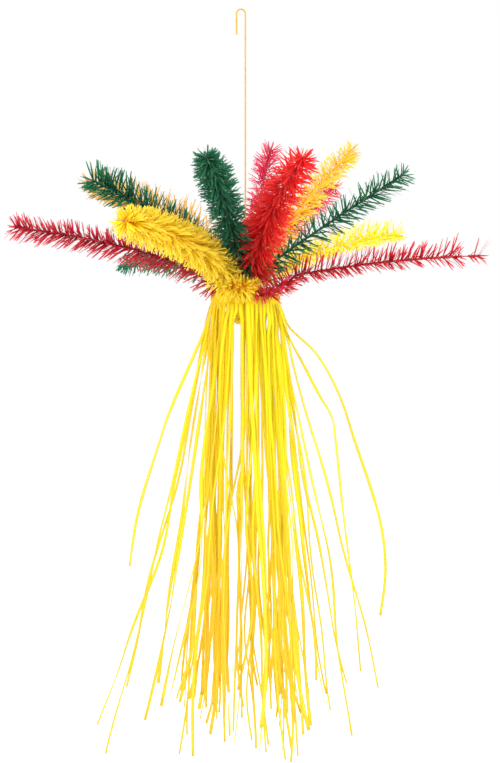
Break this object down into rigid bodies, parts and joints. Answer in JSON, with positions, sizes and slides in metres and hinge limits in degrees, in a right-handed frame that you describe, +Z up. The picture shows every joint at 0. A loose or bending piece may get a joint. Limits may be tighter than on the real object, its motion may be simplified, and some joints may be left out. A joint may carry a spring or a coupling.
{
  "type": "hanging tissue spray decoration",
  "caption": "Hanging party decoration: brush-like branches of fringed red, green and yellow tissue on wires, spread from a hub over a skirt of long tissue strips, on a wire with a hook.",
  "frame": {"origin": "inside of the hook's crown, where it rests on what it hangs from", "axes": "+Z up, from the skirt to the hook; +X to the right and -Y towards the viewer as pictured"},
  "size_m": [0.6166, 0.5948, 0.9415],
  "materials": {
    "hanger_wire": "yellow coated wire",
    "branch_wire": "plain twisted wire",
    "tissue_red": "matt fringed tissue",
    "tissue_green": "matt fringed tissue",
    "tissue_yellow": "matt fringed tissue",
    "skirt_tissue": "thin translucent tissue strips",
    "skirt_tie": "twine"
  },
  "bodies": {
    "root": {"hanger_wire": "hanger_wire", "branch_wire_red_left": "branch_wire", "fringe_red_left": "tissue_red", "branch_wire_green_low_left": "branch_wire", "fringe_green_low_left": "tissue_green", "branch_wire_yellow_front": "branch_wire", "fringe_yellow_front": "tissue_yellow", "branch_wire_green_upper_left": "branch_wire", "fringe_green_upper_left": "tissue_green", "branch_wire_yellow_back_left": "branch_wire", "fringe_yellow_back_left": "tissue_yellow", "branch_wire_green_up": "branch_wire", "fringe_green_up": "tissue_green", "branch_wire_red_up_back": "branch_wire", "fringe_red_up_back": "tissue_red", "branch_wire_red_up_front": "branch_wire", "fringe_red_up_front": "tissue_red", "branch_wire_yellow_up_back": "branch_wire", "fringe_yellow_up_back": "tissue_yellow", "branch_wire_red_back": "branch_wire", "fringe_red_back": "tissue_red", "branch_wire_green_right": "branch_wire", "fringe_green_right": "tissue_green", "branch_wire_yellow_right": "branch_wire", "fringe_yellow_right": "tissue_yellow", "branch_wire_red_right": "branch_wire", "fringe_red_right": "tissue_red", "branch_wire_green_back": "branch_wire", "fringe_green_back": "tissue_green", "branch_wire_yellow_back": "branch_wire", "fringe_yellow_back": "tissue_yellow", "binding_wire": "branch_wire", "skirt_tie": "skirt_tie", "skirt_sheet_outer_1": "skirt_tissue", "skirt_sheet_outer_2": "skirt_tissue", "skirt_sheet_outer_3": "skirt_tissue", "skirt_sheet_outer_4": "skirt_tissue", "skirt_sheet_inner_1": "skirt_tissue", "skirt_sheet_inner_2": "skirt_tissue", "skirt_sheet_inner_3": "skirt_tissue", "skirt_sheet_inner_4": "skirt_tissue"}
  },
  "joints": []
}
